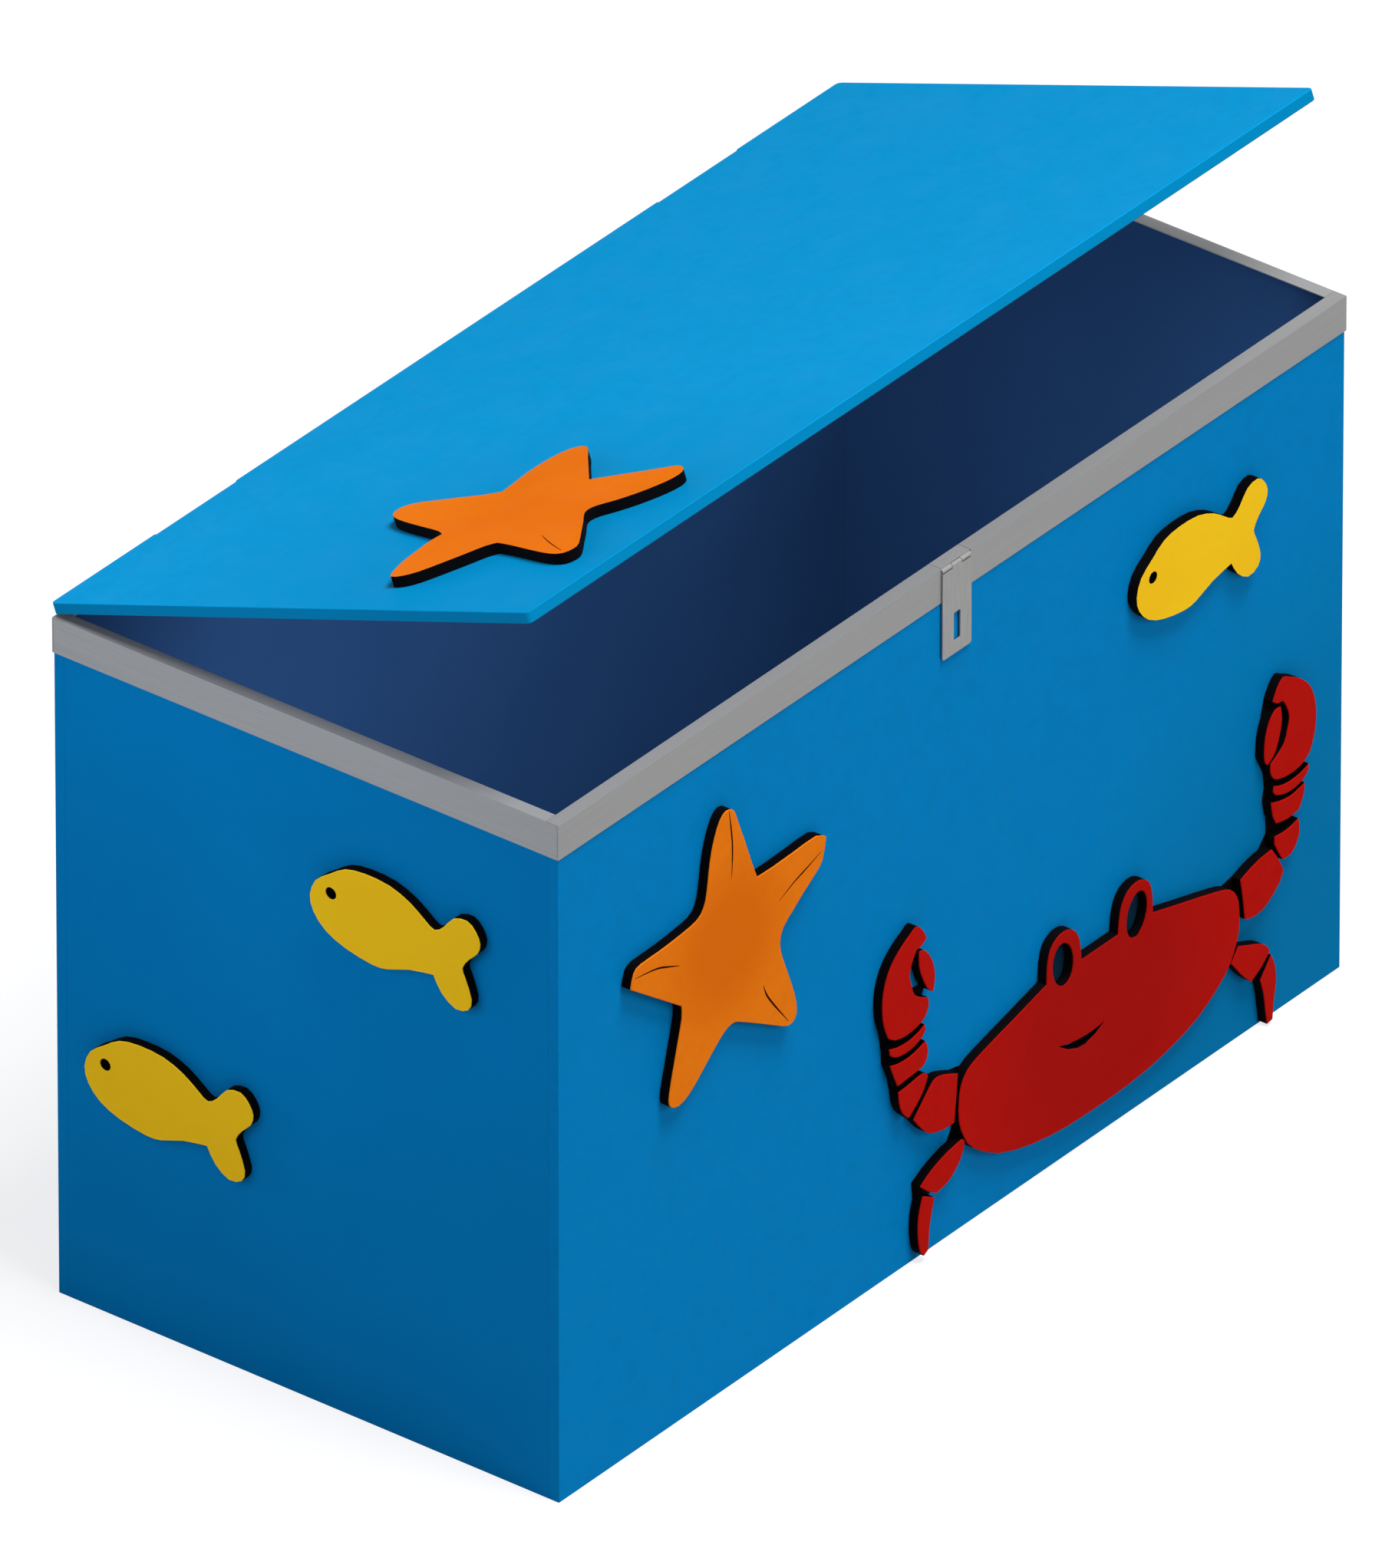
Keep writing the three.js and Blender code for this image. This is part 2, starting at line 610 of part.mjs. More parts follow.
function buildBox(chest, walls) {
  const innerLength = boxLength - 2 * boardThickness - 2 * glueLine;
  const innerDepth = boxDepth - 2 * boardThickness - 2 * glueLine;
  const front = cut(wallBoard(boxLength), [knuckleRecess(), ...frontPilots()]);
  add(walls.front, 'front_panel', front, bluePaint);
  add(walls.back, 'back_panel', cut(wallBoard(boxLength), backPilots()), bluePaint);
  add(walls.left, 'left_panel', wallBoard(innerDepth), bluePaint);
  add(walls.right, 'right_panel', wallBoard(innerDepth), bluePaint);

  add(walls.front, 'front_trim', cut(trimSolid(boxLength, true), [leafOpening()]), greyMetal);
  add(walls.back, 'back_trim', cut(trimSolid(boxLength, true), hingeOpenings()), greyMetal);
  add(walls.left, 'left_trim', trimSolid(boxDepth, false), greyMetal);
  add(walls.right, 'right_trim', trimSolid(boxDepth, false), greyMetal);

  const longBatten = new THREE.BoxGeometry(innerLength, battenWidth, battenHeight);
  const sideBattenLength = innerDepth - 2 * battenWidth - 2 * glueLine;
  const crossBatten = new THREE.BoxGeometry(battenWidth, sideBattenLength, battenHeight);
  const lift = battenHeight / 2;
  const toLong = (innerDepth - battenWidth) / 2;
  const toCross = (innerLength - battenWidth) / 2;
  add(chest, 'front_batten', longBatten, navyPaint, [0, -toLong, lift]);
  add(chest, 'back_batten', longBatten, navyPaint, [0, toLong, lift]);
  add(chest, 'left_batten', crossBatten, navyPaint, [-toCross, 0, lift]);
  add(chest, 'right_batten', crossBatten, navyPaint, [toCross, 0, lift]);
  add(chest, 'middle_bearer', crossBatten, navyPaint, [0, 0, lift]);

  const bottom = new THREE.BoxGeometry(innerLength, innerDepth, boardThickness);
  add(chest, 'bottom_panel', bottom, navyPaint, [0, 0, battenHeight + glueLine + boardThickness / 2]);
}

// Hasp: a leaf let into the front trim and folded over the rim, a pin, and the slotted strap that
// swings on it

function buildHasp(front) {
  const hasp = groupIn(front, [0, haspAxisHeight, haspAxisOut]);
  const shared = {
    length: haspWidth,
    pinRadius: haspPinRadius,
    knuckleRadius: haspKnuckleRadius,
    knuckles: haspKnuckles,
    corner: haspCorner,
    screw: haspScrew,
  };
  const fold = block(
    [-haspWidth / 2, haspDrop - trimThickness, trimInner - haspAxisOut],
    [haspWidth / 2, haspDrop, 0],
  );
  const posts = knuckleSpans(haspWidth, haspKnuckles, 0).map(
    ([from, to]) => block([from, 0, -haspKnuckleRadius], [to, haspDrop, 0]),
  );
  const leaf = hingeLeaf({
    ...shared,
    reach: haspLeafReach,
    thickness: trimThickness,
    low: glueLine - haspAxisOut,
    first: 0,
    screwPlaces: haspLeafScrews,
    extras: [fold, ...posts],
  });
  const slotMiddle = -haspReach + slotFromEnd;
  const slotOutline = roundedOutline([
    [-slotWidth / 2, slotMiddle - slotLength / 2, slotCorner],
    [slotWidth / 2, slotMiddle - slotLength / 2, slotCorner],
    [slotWidth / 2, slotMiddle + slotLength / 2, slotCorner],
    [-slotWidth / 2, slotMiddle + slotLength / 2, slotCorner],
  ], cornerStepCount);
  const strap = hingeLeaf({
    ...shared,
    reach: haspReach,
    thickness: haspThickness,
    low: haspKnuckleRadius - haspThickness,
    first: 1,
    screwPlaces: [],
    slot: slotOutline,
  });
  const pin = rod(haspPinRadius, -haspWidth / 2, haspWidth / 2, pinSideCount);
  add(hasp, 'hasp_leaf', leaf, greyMetal);
  add(hasp, 'hasp_strap', strap, greyMetal);
  add(hasp, 'hasp_pin', pin, steel);
  haspLeafScrews.forEach(([x, y], i) => {
    add(hasp, `hasp_screw_${i + 1}`, screwSolid(haspScrew), steel, [x, y, trimOut - haspAxisOut]);
  });
}

// Back hinges: the wall leaves and pins stay with the box, and the lid leaves turn with the lid

const hingeShared = {
  length: hingeLength,
  thickness: hingeLeafThickness,
  pinRadius: hingePinRadius,
  knuckleRadius: hingeKnuckleRadius,
  knuckles: hingeKnuckles,
  corner: hingeCorner,
  screw: hingeScrew,
};

function buildWallLeaves(back) {
  const wallLeaf = hingeLeaf({
    ...hingeShared,
    reach: hingeWallReach,
    low: -hingeKnuckleRadius,
    first: 0,
    screwPlaces: wallLeafScrews,
  });
  const pin = pinSolid(hingePinRadius, hingeLength, hingePinHeadRadius, hingePinHeadLength);
  const screw = screwSolid(hingeScrew);
  for (const name of hingeNames) {
    const hinge = groupIn(back, [hingeMiddle(name), hingeAxisHeight, hingeAxisOut]);
    add(hinge, `${name}_hinge_wall_leaf`, wallLeaf, steel);
    add(hinge, `${name}_hinge_pin`, pin, steel);
    wallLeafScrews.forEach(([x, y], i) => {
      const top = hingeLeafThickness - hingeKnuckleRadius;
      add(hinge, `${name}_hinge_wall_screw_${i + 1}`, screw, steel, [x, y, top]);
    });
  }
}

// The lid leaves are let into the lid's underside, with their screws pointing up into it
function buildLidLeaves(lid) {
  const lidLeaf = hingeLeaf({
    ...hingeShared,
    reach: hingeLidReach,
    low: lidUnderside,
    first: 1,
    screwPlaces: lidLeafScrews,
  });
  const screw = screwSolid(hingeScrew);
  for (const name of hingeNames) {
    const hinge = groupIn(lid, [-hingeMiddle(name), 0, 0]);
    hinge.rotation.y = Math.PI;
    add(hinge, `${name}_hinge_lid_leaf`, lidLeaf, steel);
    lidLeafScrews.forEach(([x, y], i) => {
      const top = lidUnderside + hingeLeafThickness;
      add(hinge, `${name}_hinge_lid_screw_${i + 1}`, screw, steel, [x, y, top]);
    });
  }
}

// Lid, drawn closed in a frame whose origin is on the hinge axis. Its back edge is notched for the
// hinges' knuckles.

function lidBoard() {
  const end = boxLength / 2 - lidEndInset;
  const outline = roundedOutline([
    [-end, lidBack - lidDepth, lidCorner],
    [end, lidBack - lidDepth, lidCorner],
    [end, lidBack, lidCorner],
    [-end, lidBack, lidCorner],
  ], cornerStepCount);
  const board = cutOut(outline, lidThickness).translate(0, 0, lidUnderside);
  const pocketTop = lidUnderside + hingeLeafThickness + pocketGap;
  const notchHalf = hingeLength / 2 + hingePinHeadLength + pocketGap;
  const notchEnd = -hingeKnuckleRadius - pocketGap;
  const cutters = [];
  const pocketHalf = hingeLength / 2 + pocketGap;
  for (const name of hingeNames) {
    const middle = -hingeMiddle(name);
    cutters.push(block(
      [middle - pocketHalf, -hingeLidReach - pocketGap, lidUnderside - cutOverrun],
      [middle + pocketHalf, lidBack + cutOverrun, pocketTop],
    ));
    cutters.push(block(
      [middle - notchHalf, notchEnd, lidUnderside - cutOverrun],
      [middle + notchHalf, lidBack + cutOverrun, lidUnderside + lidThickness + cutOverrun],
    ));
    for (const [x, y] of lidLeafScrews) {
      const hole = screwHole(hingeScrew, x, y, lidUnderside + hingeLeafThickness).rotateY(Math.PI);
      cutters.push(hole.translate(middle, 0, 0));
    }
  }
  return cut(board, cutters);
}

// Animals

function starSolid(runs) {
  return cutOut(splineOutline(runs, starReach), figureThickness);
}

function fishSolid() {
  const outline = splineOutline([fishShares], fishBody);
  const [x, y] = fishEyeShares.map((share) => share * fishBody);
  return cutOut(outline, figureThickness, [ellipse(x, y, fishEyeRadius, fishEyeRadius, 0, eyeSideCount)]);
}

function crabBodySolid() {
  const left = splineOutline([crabFlankShares, crabStalkShares], crabBody);
  const [lastX, lastY] = crabStalkShares[crabStalkShares.length - 1].map((share) => share * crabBody);
  const half = [...left, new THREE.Vector2(lastX, lastY)];
  const outline = [...half, ...mirrored(half.slice(1))];
  const eye = crabEyeShares;
  const tilt = THREE.MathUtils.degToRad(crabEyeTiltAngle);
  const eyes = [-1, 1].map((side) => ellipse(
    side * eye.across * crabBody,
    eye.up * crabBody,
    eye.short * crabBody,
    eye.long * crabBody,
    -side * tilt,
    eyeSideCount,
  ));
  return cutOut(outline, figureThickness, [...eyes, smileOutline()]);
}

// The mouth is a slot between two arcs that meet at its ends
function smileOutline() {
  const points = {};
  for (const [name, shares] of Object.entries(crabSmileShares)) {
    points[name] = new THREE.Vector2(...shares).multiplyScalar(crabBody);
  }
  const lower = new THREE.QuadraticBezierCurve(points.left, points.lower, points.right);
  const upper = new THREE.QuadraticBezierCurve(points.right, points.upper, points.left);
  return [lower, upper].flatMap((curve) => curve.getPoints(smileStepCount).slice(0, -1));
}

function limbSolid(limb, side) {
  const own = side === 'right' ? crabRightLimbShares[limb] : crabLimbShares[limb];
  const outline = splineOutline(own ?? crabLimbShares[limb], crabBody);
  return cutOut(own ? outline : mirrored(outline), figureThickness);
}

// Places on the faces, in each face's own frame
function onFront([across, up]) {
  return [across * boxLength - boxLength / 2, up * wallHeight, turnedGap];
}

function onLeft([fromFront, up]) {
  return [boxDepth / 2 - fromFront * boxDepth, up * wallHeight, turnedGap];
}

function onLid([across, fromFront]) {
  const lidTop = lidUnderside + lidThickness;
  const along = lidBack - lidDepth + fromFront * lidDepth;
  return [across * boxLength - boxLength / 2, along, lidTop + turnedGap];
}

function buildFigures(walls, lid) {
  const fish = fishSolid();
  add(walls.front, 'front_starfish', starSolid(frontStarShares), orangePaint, onFront(starOnFrontShares));
  add(lid, 'lid_starfish', starSolid(lidStarShares), orangePaint, onLid(starOnLidShares));
  add(walls.front, 'front_fish', fish, yellowPaint, onFront(fishOnFrontShares));
  add(walls.left, 'left_upper_fish', fish, yellowPaint, onLeft(upperFishOnLeftShares));
  add(walls.left, 'left_lower_fish', fish, yellowPaint, onLeft(lowerFishOnLeftShares));

  const crabX = crabOnFrontShare * boxLength - boxLength / 2;
  const crab = groupIn(walls.front, [crabX, crabLift, turnedGap]);
  add(crab, 'crab_body', crabBodySolid(), redPaint);
  for (const side of ['left', 'right']) {
    for (const limb of Object.keys(crabLimbShares)) {
      add(crab, `crab_${side}_${limb}`, limbSolid(limb, side), redPaint);
    }
  }
}

const chest = new THREE.Group();
const walls = {
  front: wallFrame(chest, 0, [0, -boxDepth / 2, 0]),
  right: wallFrame(chest, Math.PI / 2, [boxLength / 2, 0, 0]),
  back: wallFrame(chest, Math.PI, [0, boxDepth / 2, 0]),
  left: wallFrame(chest, -Math.PI / 2, [-boxLength / 2, 0, 0]),
};
const lid = groupIn(chest, [0, boxDepth / 2 + hingeAxisOut, hingeAxisHeight]);
lid.rotation.x = -THREE.MathUtils.degToRad(lidRestAngle);

buildBox(chest, walls);
buildHasp(walls.front);
buildWallLeaves(walls.back);
buildLidLeaves(lid);
add(lid, 'lid_panel', lidBoard(), bluePaint);
buildFigures(walls, lid);

export default chest;
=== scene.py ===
"""A painted toy chest with glued-on sea animals, dressed for its photograph.

A painted or plated copy stands for each solid, with its edges rounded where they show. Films of
paint on the front wall, which are painted shade at the crab's eyes, and the starfish's creases,
dark brown lines with painted shade in them, are added here. Lengths are in metres, unless a comment
says otherwise.
"""

import json
import math

import bpy
from mathutils import Matrix, Vector

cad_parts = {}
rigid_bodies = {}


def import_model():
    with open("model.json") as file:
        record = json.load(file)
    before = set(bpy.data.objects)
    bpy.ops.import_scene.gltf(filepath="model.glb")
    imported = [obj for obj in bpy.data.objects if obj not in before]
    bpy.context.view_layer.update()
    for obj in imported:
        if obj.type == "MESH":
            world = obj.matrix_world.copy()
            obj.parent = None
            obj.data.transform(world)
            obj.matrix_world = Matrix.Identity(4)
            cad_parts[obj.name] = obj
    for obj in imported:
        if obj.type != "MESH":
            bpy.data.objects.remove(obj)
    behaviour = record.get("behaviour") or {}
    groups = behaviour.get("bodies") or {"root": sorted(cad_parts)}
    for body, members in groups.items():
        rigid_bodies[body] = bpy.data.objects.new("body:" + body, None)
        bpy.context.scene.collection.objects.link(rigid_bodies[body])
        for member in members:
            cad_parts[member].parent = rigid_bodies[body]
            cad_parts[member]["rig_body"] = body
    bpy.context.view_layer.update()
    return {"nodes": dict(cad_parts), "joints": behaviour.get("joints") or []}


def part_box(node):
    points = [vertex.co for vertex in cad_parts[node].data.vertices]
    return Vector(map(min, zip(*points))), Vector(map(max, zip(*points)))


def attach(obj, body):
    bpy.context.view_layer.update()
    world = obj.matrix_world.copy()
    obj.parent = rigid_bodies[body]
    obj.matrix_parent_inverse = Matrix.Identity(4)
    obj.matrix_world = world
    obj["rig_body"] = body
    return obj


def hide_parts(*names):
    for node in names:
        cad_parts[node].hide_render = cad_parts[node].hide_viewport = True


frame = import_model()
nodes = frame["nodes"]

# Places that the pieces share, and reaches of the spots of painted shade, where the paint is darker
lid_joint = next(joint for joint in frame["joints"] if joint["name"] == "lid_hinge")
LID_AXIS = Vector(lid_joint["pos_m"])
LID_ANGLE = math.radians(-lid_joint["range_deg"][0])
LID_TURN = Matrix.Rotation(-LID_ANGLE, 3, "X")
FRONT_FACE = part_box("front_panel")[0].y
LEFT_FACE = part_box("left_panel")[0].x
lid_box_low, lid_box_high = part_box("lid_panel")
LID_NEAR_CORNER = Vector((lid_box_low.x, lid_box_low.y, lid_box_high.z))
LID_SHADE_REACH = 0.60
WALL_FAR_CORNER = Vector((-LEFT_FACE, FRONT_FACE, 0.05))
WALL_SHADE_REACH = 0.52
FRONT_STAR_SHADE_REACH = 0.11
CRAB_SHADE_REACH = 0.24

# Paints and metals, as linear colours
LID_BLUE = (0.0020, 0.307, 0.668)
LID_BLUE_SHADE_AND_MOTTLE = (0.0014, 0.258, 0.560)
# The lid's edge takes a darker blue than its top: painted shade
LID_EDGE_SHADED_BLUE = (0.0008, 0.226, 0.482)
LID_EDGE_SHADED_BLUE_DEEP = (0.0006, 0.208, 0.450)
# The walls' blue is a darker copy of the lid's blue: painted shade on the upright faces
WALL_SHADED_BLUE = (0.0004, 0.218, 0.550)
WALL_SHADED_BLUE_DEEP = (0.0003, 0.200, 0.515)
# The front wall's deeper blue: painted shade at its lower right corner, and its mottling
FRONT_BLUE_SHADE_AND_MOTTLE = (0.0006, 0.186, 0.435)
NAVY = (0.021, 0.067, 0.184)
NAVY_DEEP = (0.018, 0.059, 0.166)
ORANGE = (0.860, 0.200, 0.006)
ORANGE_SHADE_AND_MOTTLE = (0.760, 0.155, 0.003)
YELLOW = (1.000, 0.630, 0.014)
YELLOW_DEEP = (0.980, 0.560, 0.012)
RED = (0.500, 0.006, 0.003)
RED_SHADE_AND_MOTTLE = (0.400, 0.005, 0.003)
BLACK = (0.0012, 0.0010, 0.0015)
BLACK_WORN = (0.0040, 0.0036, 0.0046)
BROWN = (0.060, 0.005, 0.002)
BROWN_DEEP = (0.030, 0.003, 0.001)
SHADED_BLUE = (0.0060, 0.034, 0.072)
SHADED_BLUE_DEEP = (0.0040, 0.026, 0.056)
TRIM_GREY = (0.292, 0.292, 0.292)
TRIM_GREY_DEEP = (0.276, 0.276, 0.276)
# The side trims take a lighter grey than the front and back trims: painted light
SIDE_TRIM_LIT_GREY = (0.325, 0.330, 0.334)
SIDE_TRIM_LIT_GREY_DEEP = (0.308, 0.312, 0.316)
HASP_GREY = (0.325, 0.325, 0.325)
HASP_GREY_DEEP = (0.285, 0.280, 0.275)
HINGE_ZINC = (0.50, 0.50, 0.49)
HINGE_ZINC_DEEP = (0.42, 0.42, 0.41)
SCREW_ZINC = (0.55, 0.55, 0.54)
SCREW_ZINC_DEEP = (0.44, 0.44, 0.43)

# Sheens, each as the lowest and the highest roughness
PANEL_SHEEN = (0.48, 0.60)
FIGURE_SHEEN = (0.45, 0.58)
NAVY_SHEEN = (0.55, 0.68)
EDGE_SHEEN = (0.55, 0.72)
TRIM_SHEEN = (0.52, 0.62)
HINGE_SHEEN = (0.32, 0.48)
SCREW_SHEEN = (0.28, 0.45)

# Relief of a coat of paint, as the strength of the roller's stipple and that of the wood's grain
PANEL_RELIEF = (0.10, 0.05)
FIGURE_RELIEF = (0.08, 0.03)
EDGE_RELIEF = (0.12, 0.10)

# Patterns in the paint: how fine each is, how deep it lies, and how much the mottling shows
CLOUD_SCALE = 5
MOTTLE_SCALE = 90
MOTTLE_MOST = 0.35
MOTTLE_START, MOTTLE_END = 0.45, 0.75
PATCHY_SHEEN_SCALE = 30
STIPPLE_SCALE = 620
STIPPLE_DEPTH = 0.0003
GRAIN_STRETCH = (6, 90, 90)
GRAIN_DEPTH = 0.0010
PAINT_SHINE = 0.01

# Ways that the fine lines of the metals run, as a stretch of their pattern along x, y and z
LINES_ALONG_X = (8, 700, 700)
LINES_ALONG_Y = (700, 8, 700)
LINES_UPRIGHT = (500, 500, 40)
LINES_ACROSS_LEAVES = (60, 500, 500)
LINES_ON_SCREWS = (400, 400, 400)
LINE_STRENGTH = 0.04
LINE_DEPTH = 0.0002
DULL_CLOUD_SCALE = 14
DULL_CLOUD_MOST = 0.4
SATIN_METAL = 0.25
PLATED_METAL = 0.95
BRIGHT_METAL = 1.0

# Rounded edges, each as its width and its number of steps
BOARD_ROUND = (0.0005, 2)
LID_ROUND = (0.0016, 4)
TRIM_ROUND = (0.0002, 2)
FIGURE_ROUND = (0.0007, 3)
PLATE_ROUND = (0.00012, 2)

# Tolerances for picking edges and welding corners
LID_OUTLINE_REACH = 0.0045
LONG_EDGE = 0.03
SAME_PLACE = 0.00002
WELD = 0.000005
FILM_WELD = 0.000002
CUTTER_WELD = 0.000001

# Angles in degrees: between triangles that make one flat face, and from which an edge stays sharp
FLAT_ANGLE = 0.4
SHARP_ANGLE = 35
SCREW_SHARP_ANGLE = 30
FLAT_FACE_WEIGHT = 100

# Cosines of the angle between two directions: of faces that meet in an edge to round, and of faces
# that take a paint because of the way that they face
EDGE_TO_ROUND = 0.7
FACING = 0.7
SQUARE_ON = 0.9
LID_RIM_SLOPE = 0.5
FIGURE_RIM_SLOPE = 0.2


# Materials

def new_material(name):
    made = bpy.data.materials.new(name)
    made.use_nodes = True
    tree = made.node_tree
    tree.nodes.clear()
    output = tree.nodes.new("ShaderNodeOutputMaterial")
    shader = tree.nodes.new("ShaderNodeBsdfPrincipled")
    tree.links.new(shader.outputs["BSDF"], output.inputs["Surface"])
    return made, tree, shader


def noise(tree, scale, detail, stretch=(1, 1, 1)):
    place = tree.nodes.new("ShaderNodeTexCoord")
    mapping = tree.nodes.new("ShaderNodeMapping")
    mapping.inputs["Scale"].default_value = stretch
    texture = tree.nodes.new("ShaderNodeTexNoise")
    texture.inputs["Scale"].default_value = scale
    texture.inputs["Detail"].default_value = detail
    tree.links.new(place.outputs["Object"], mapping.inputs["Vector"])
    tree.links.new(mapping.outputs["Vector"], texture.inputs["Vector"])
    return texture.outputs["Fac"]


def spread(tree, source, low, high, start=0.3, end=0.7):
    """Maps a pattern's middle range to the span from low to high."""
    node = tree.nodes.new("ShaderNodeMapRange")
    node.inputs["From Min"].default_value = start
    node.inputs["From Max"].default_value = end
    node.inputs["To Min"].default_value = low
    node.inputs["To Max"].default_value = high
    tree.links.new(source, node.inputs["Value"])
    return node.outputs["Result"]


def blend_colours(tree, source, first, second):
    node = tree.nodes.new("ShaderNodeMix")
    node.data_type = "RGBA"
    for socket, colour in (("A_Color", first), ("B_Color", second)):
        target = next(s for s in node.inputs if s.identifier == socket)
        if isinstance(colour, tuple):
            target.default_value = (*colour, 1)
        else:
            tree.links.new(colour, target)
    tree.links.new(source, next(s for s in node.inputs if s.identifier == "Factor_Float"))
    return next(s for s in node.outputs if s.identifier == "Result_Color")


def bump(tree, shader, heights):
    """Lays height patterns over each other, each given as (pattern, strength, distance)."""
    below = None
    for pattern, strength, distance in heights:
        node = tree.nodes.new("ShaderNodeBump")
        node.inputs["Strength"].default_value = strength
        node.inputs["Distance"].default_value = distance
        tree.links.new(pattern, node.inputs["Height"])
        if below:
            tree.links.new(below, node.inputs["Normal"])
        below = node.outputs["Normal"]
    tree.links.new(below, shader.inputs["Normal"])


def round_spot(tree, middle, reach):
    """A pattern that is 1 at a place and falls to 0 at reach from it."""
    place = tree.nodes.new("ShaderNodeTexCoord")
    distance = tree.nodes.new("ShaderNodeVectorMath")
    distance.operation = "DISTANCE"
    distance.inputs[1].default_value = middle
    tree.links.new(place.outputs["Object"], distance.inputs[0])
    return spread(tree, distance.outputs["Value"], 1, 0, 0, reach)


def paint(name, light, deep, sheen, relief=PANEL_RELIEF, shade_spot=None):
    """Rolled paint on plywood: cloudy colour, a fine roller stipple and a trace of the grain below.
    Shade_spot is the place and reach of a spot of painted shade, where the colour grows deeper."""
    made, tree, shader = new_material(name)
    stipple, grain = relief
    # With a shade spot the deeper colour is painted shade round that place; without one it lies in
    # random clouds
    clouds = round_spot(tree, *shade_spot) if shade_spot else noise(tree, CLOUD_SCALE, 3)
    mottle = noise(tree, MOTTLE_SCALE, 4)
    mottling = spread(tree, mottle, 0, MOTTLE_MOST, MOTTLE_START, MOTTLE_END)
    base = blend_colours(tree, spread(tree, clouds, 0, 1), light, deep)
    faded = blend_colours(tree, mottling, base, deep)
    patches = noise(tree, PATCHY_SHEEN_SCALE, 3)
    tree.links.new(faded, shader.inputs["Base Color"])
    tree.links.new(spread(tree, patches, *sheen), shader.inputs["Roughness"])
    shader.inputs["Specular IOR Level"].default_value = PAINT_SHINE
    bump(tree, shader, [
        (noise(tree, 1, 3, GRAIN_STRETCH), grain, GRAIN_DEPTH),
        (noise(tree, STIPPLE_SCALE, 2), stipple, STIPPLE_DEPTH),
    ])
    return made


def brushed_metal(name, light, deep, stretch, sheen, metallic):
    """Sheet metal with fine lines along one way."""
    made, tree, shader = new_material(name)
    lines = noise(tree, 1, 4, stretch)
    clouds = noise(tree, DULL_CLOUD_SCALE, 3)
    base = blend_colours(tree, spread(tree, lines, 0, 1), light, deep)
    dulled = blend_colours(tree, spread(tree, clouds, 0, DULL_CLOUD_MOST), base, deep)
    tree.links.new(dulled, shader.inputs["Base Color"])
    tree.links.new(spread(tree, lines, *sheen), shader.inputs["Roughness"])
    shader.inputs["Metallic"].default_value = metallic
    bump(tree, shader, [(lines, LINE_STRENGTH, LINE_DEPTH)])
    return made


def middle_of(node):
    low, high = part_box(node)
    return (low + high) / 2


# The lid's blue grows deeper towards its front left corner: painted shade
lid_paint = paint("lid_blue_paint", LID_BLUE, LID_BLUE_SHADE_AND_MOTTLE, PANEL_SHEEN,
                  shade_spot=(LID_NEAR_CORNER, LID_SHADE_REACH))
lid_edge_shaded_paint = paint("lid_edge_shaded_blue_paint", LID_EDGE_SHADED_BLUE, LID_EDGE_SHADED_BLUE_DEEP, PANEL_SHEEN)
wall_shaded_paint = paint("wall_shaded_blue_paint", WALL_SHADED_BLUE, WALL_SHADED_BLUE_DEEP, PANEL_SHEEN)
# The front wall's blue grows deeper towards the lower corner at its right end: painted shade
front_wall_shaded_paint = paint("front_wall_shaded_blue_paint", WALL_SHADED_BLUE, FRONT_BLUE_SHADE_AND_MOTTLE, PANEL_SHEEN,
                    shade_spot=(WALL_FAR_CORNER, WALL_SHADE_REACH))
navy_paint = paint("navy_paint", NAVY, NAVY_DEEP, NAVY_SHEEN)
# The front starfish's orange grows deeper towards its middle: painted shade of a pillowed face
front_star_paint = paint(
    "front_star_orange_paint", ORANGE, ORANGE_SHADE_AND_MOTTLE, FIGURE_SHEEN, FIGURE_RELIEF,
    shade_spot=(middle_of("front_starfish"), FRONT_STAR_SHADE_REACH))
lid_star_paint = paint("lid_star_orange_paint", ORANGE, ORANGE_SHADE_AND_MOTTLE, FIGURE_SHEEN, FIGURE_RELIEF)
yellow_paint = paint("yellow_paint", YELLOW, YELLOW_DEEP, FIGURE_SHEEN, FIGURE_RELIEF)
# The crab's red grows deeper towards the middle of its body and stays lighter out on its limbs:
# painted shade
red_paint = paint("red_paint", RED, RED_SHADE_AND_MOTTLE, FIGURE_SHEEN, FIGURE_RELIEF,
                  shade_spot=(middle_of("crab_body"), CRAB_SHADE_REACH))
black_paint = paint("black_edge_paint", BLACK, BLACK_WORN, EDGE_SHEEN, EDGE_RELIEF)
# Dark brown in the carved creases: the starfish's lines, and painted shade in the grooves
crease_line_and_shade_paint = paint("brown_crease_line_and_shade_paint", BROWN, BROWN_DEEP, EDGE_SHEEN, FIGURE_RELIEF)
# Dark blue for the films at the crab's eyes: painted shade in the holes
eye_paint = paint("shaded_eye_paint", SHADED_BLUE, SHADED_BLUE_DEEP, NAVY_SHEEN)
trim_along_x = brushed_metal(
    "trim_metal_long", TRIM_GREY, TRIM_GREY_DEEP, LINES_ALONG_X, TRIM_SHEEN, SATIN_METAL)
side_trim_lit_metal = brushed_metal(
    "trim_metal_side_lit", SIDE_TRIM_LIT_GREY, SIDE_TRIM_LIT_GREY_DEEP, LINES_ALONG_Y, TRIM_SHEEN, SATIN_METAL)
hasp_metal = brushed_metal(
    "hasp_metal", HASP_GREY, HASP_GREY_DEEP, LINES_UPRIGHT, TRIM_SHEEN, SATIN_METAL)
hinge_metal = brushed_metal(
    "hinge_metal", HINGE_ZINC, HINGE_ZINC_DEEP, LINES_ACROSS_LEAVES, HINGE_SHEEN, PLATED_METAL)
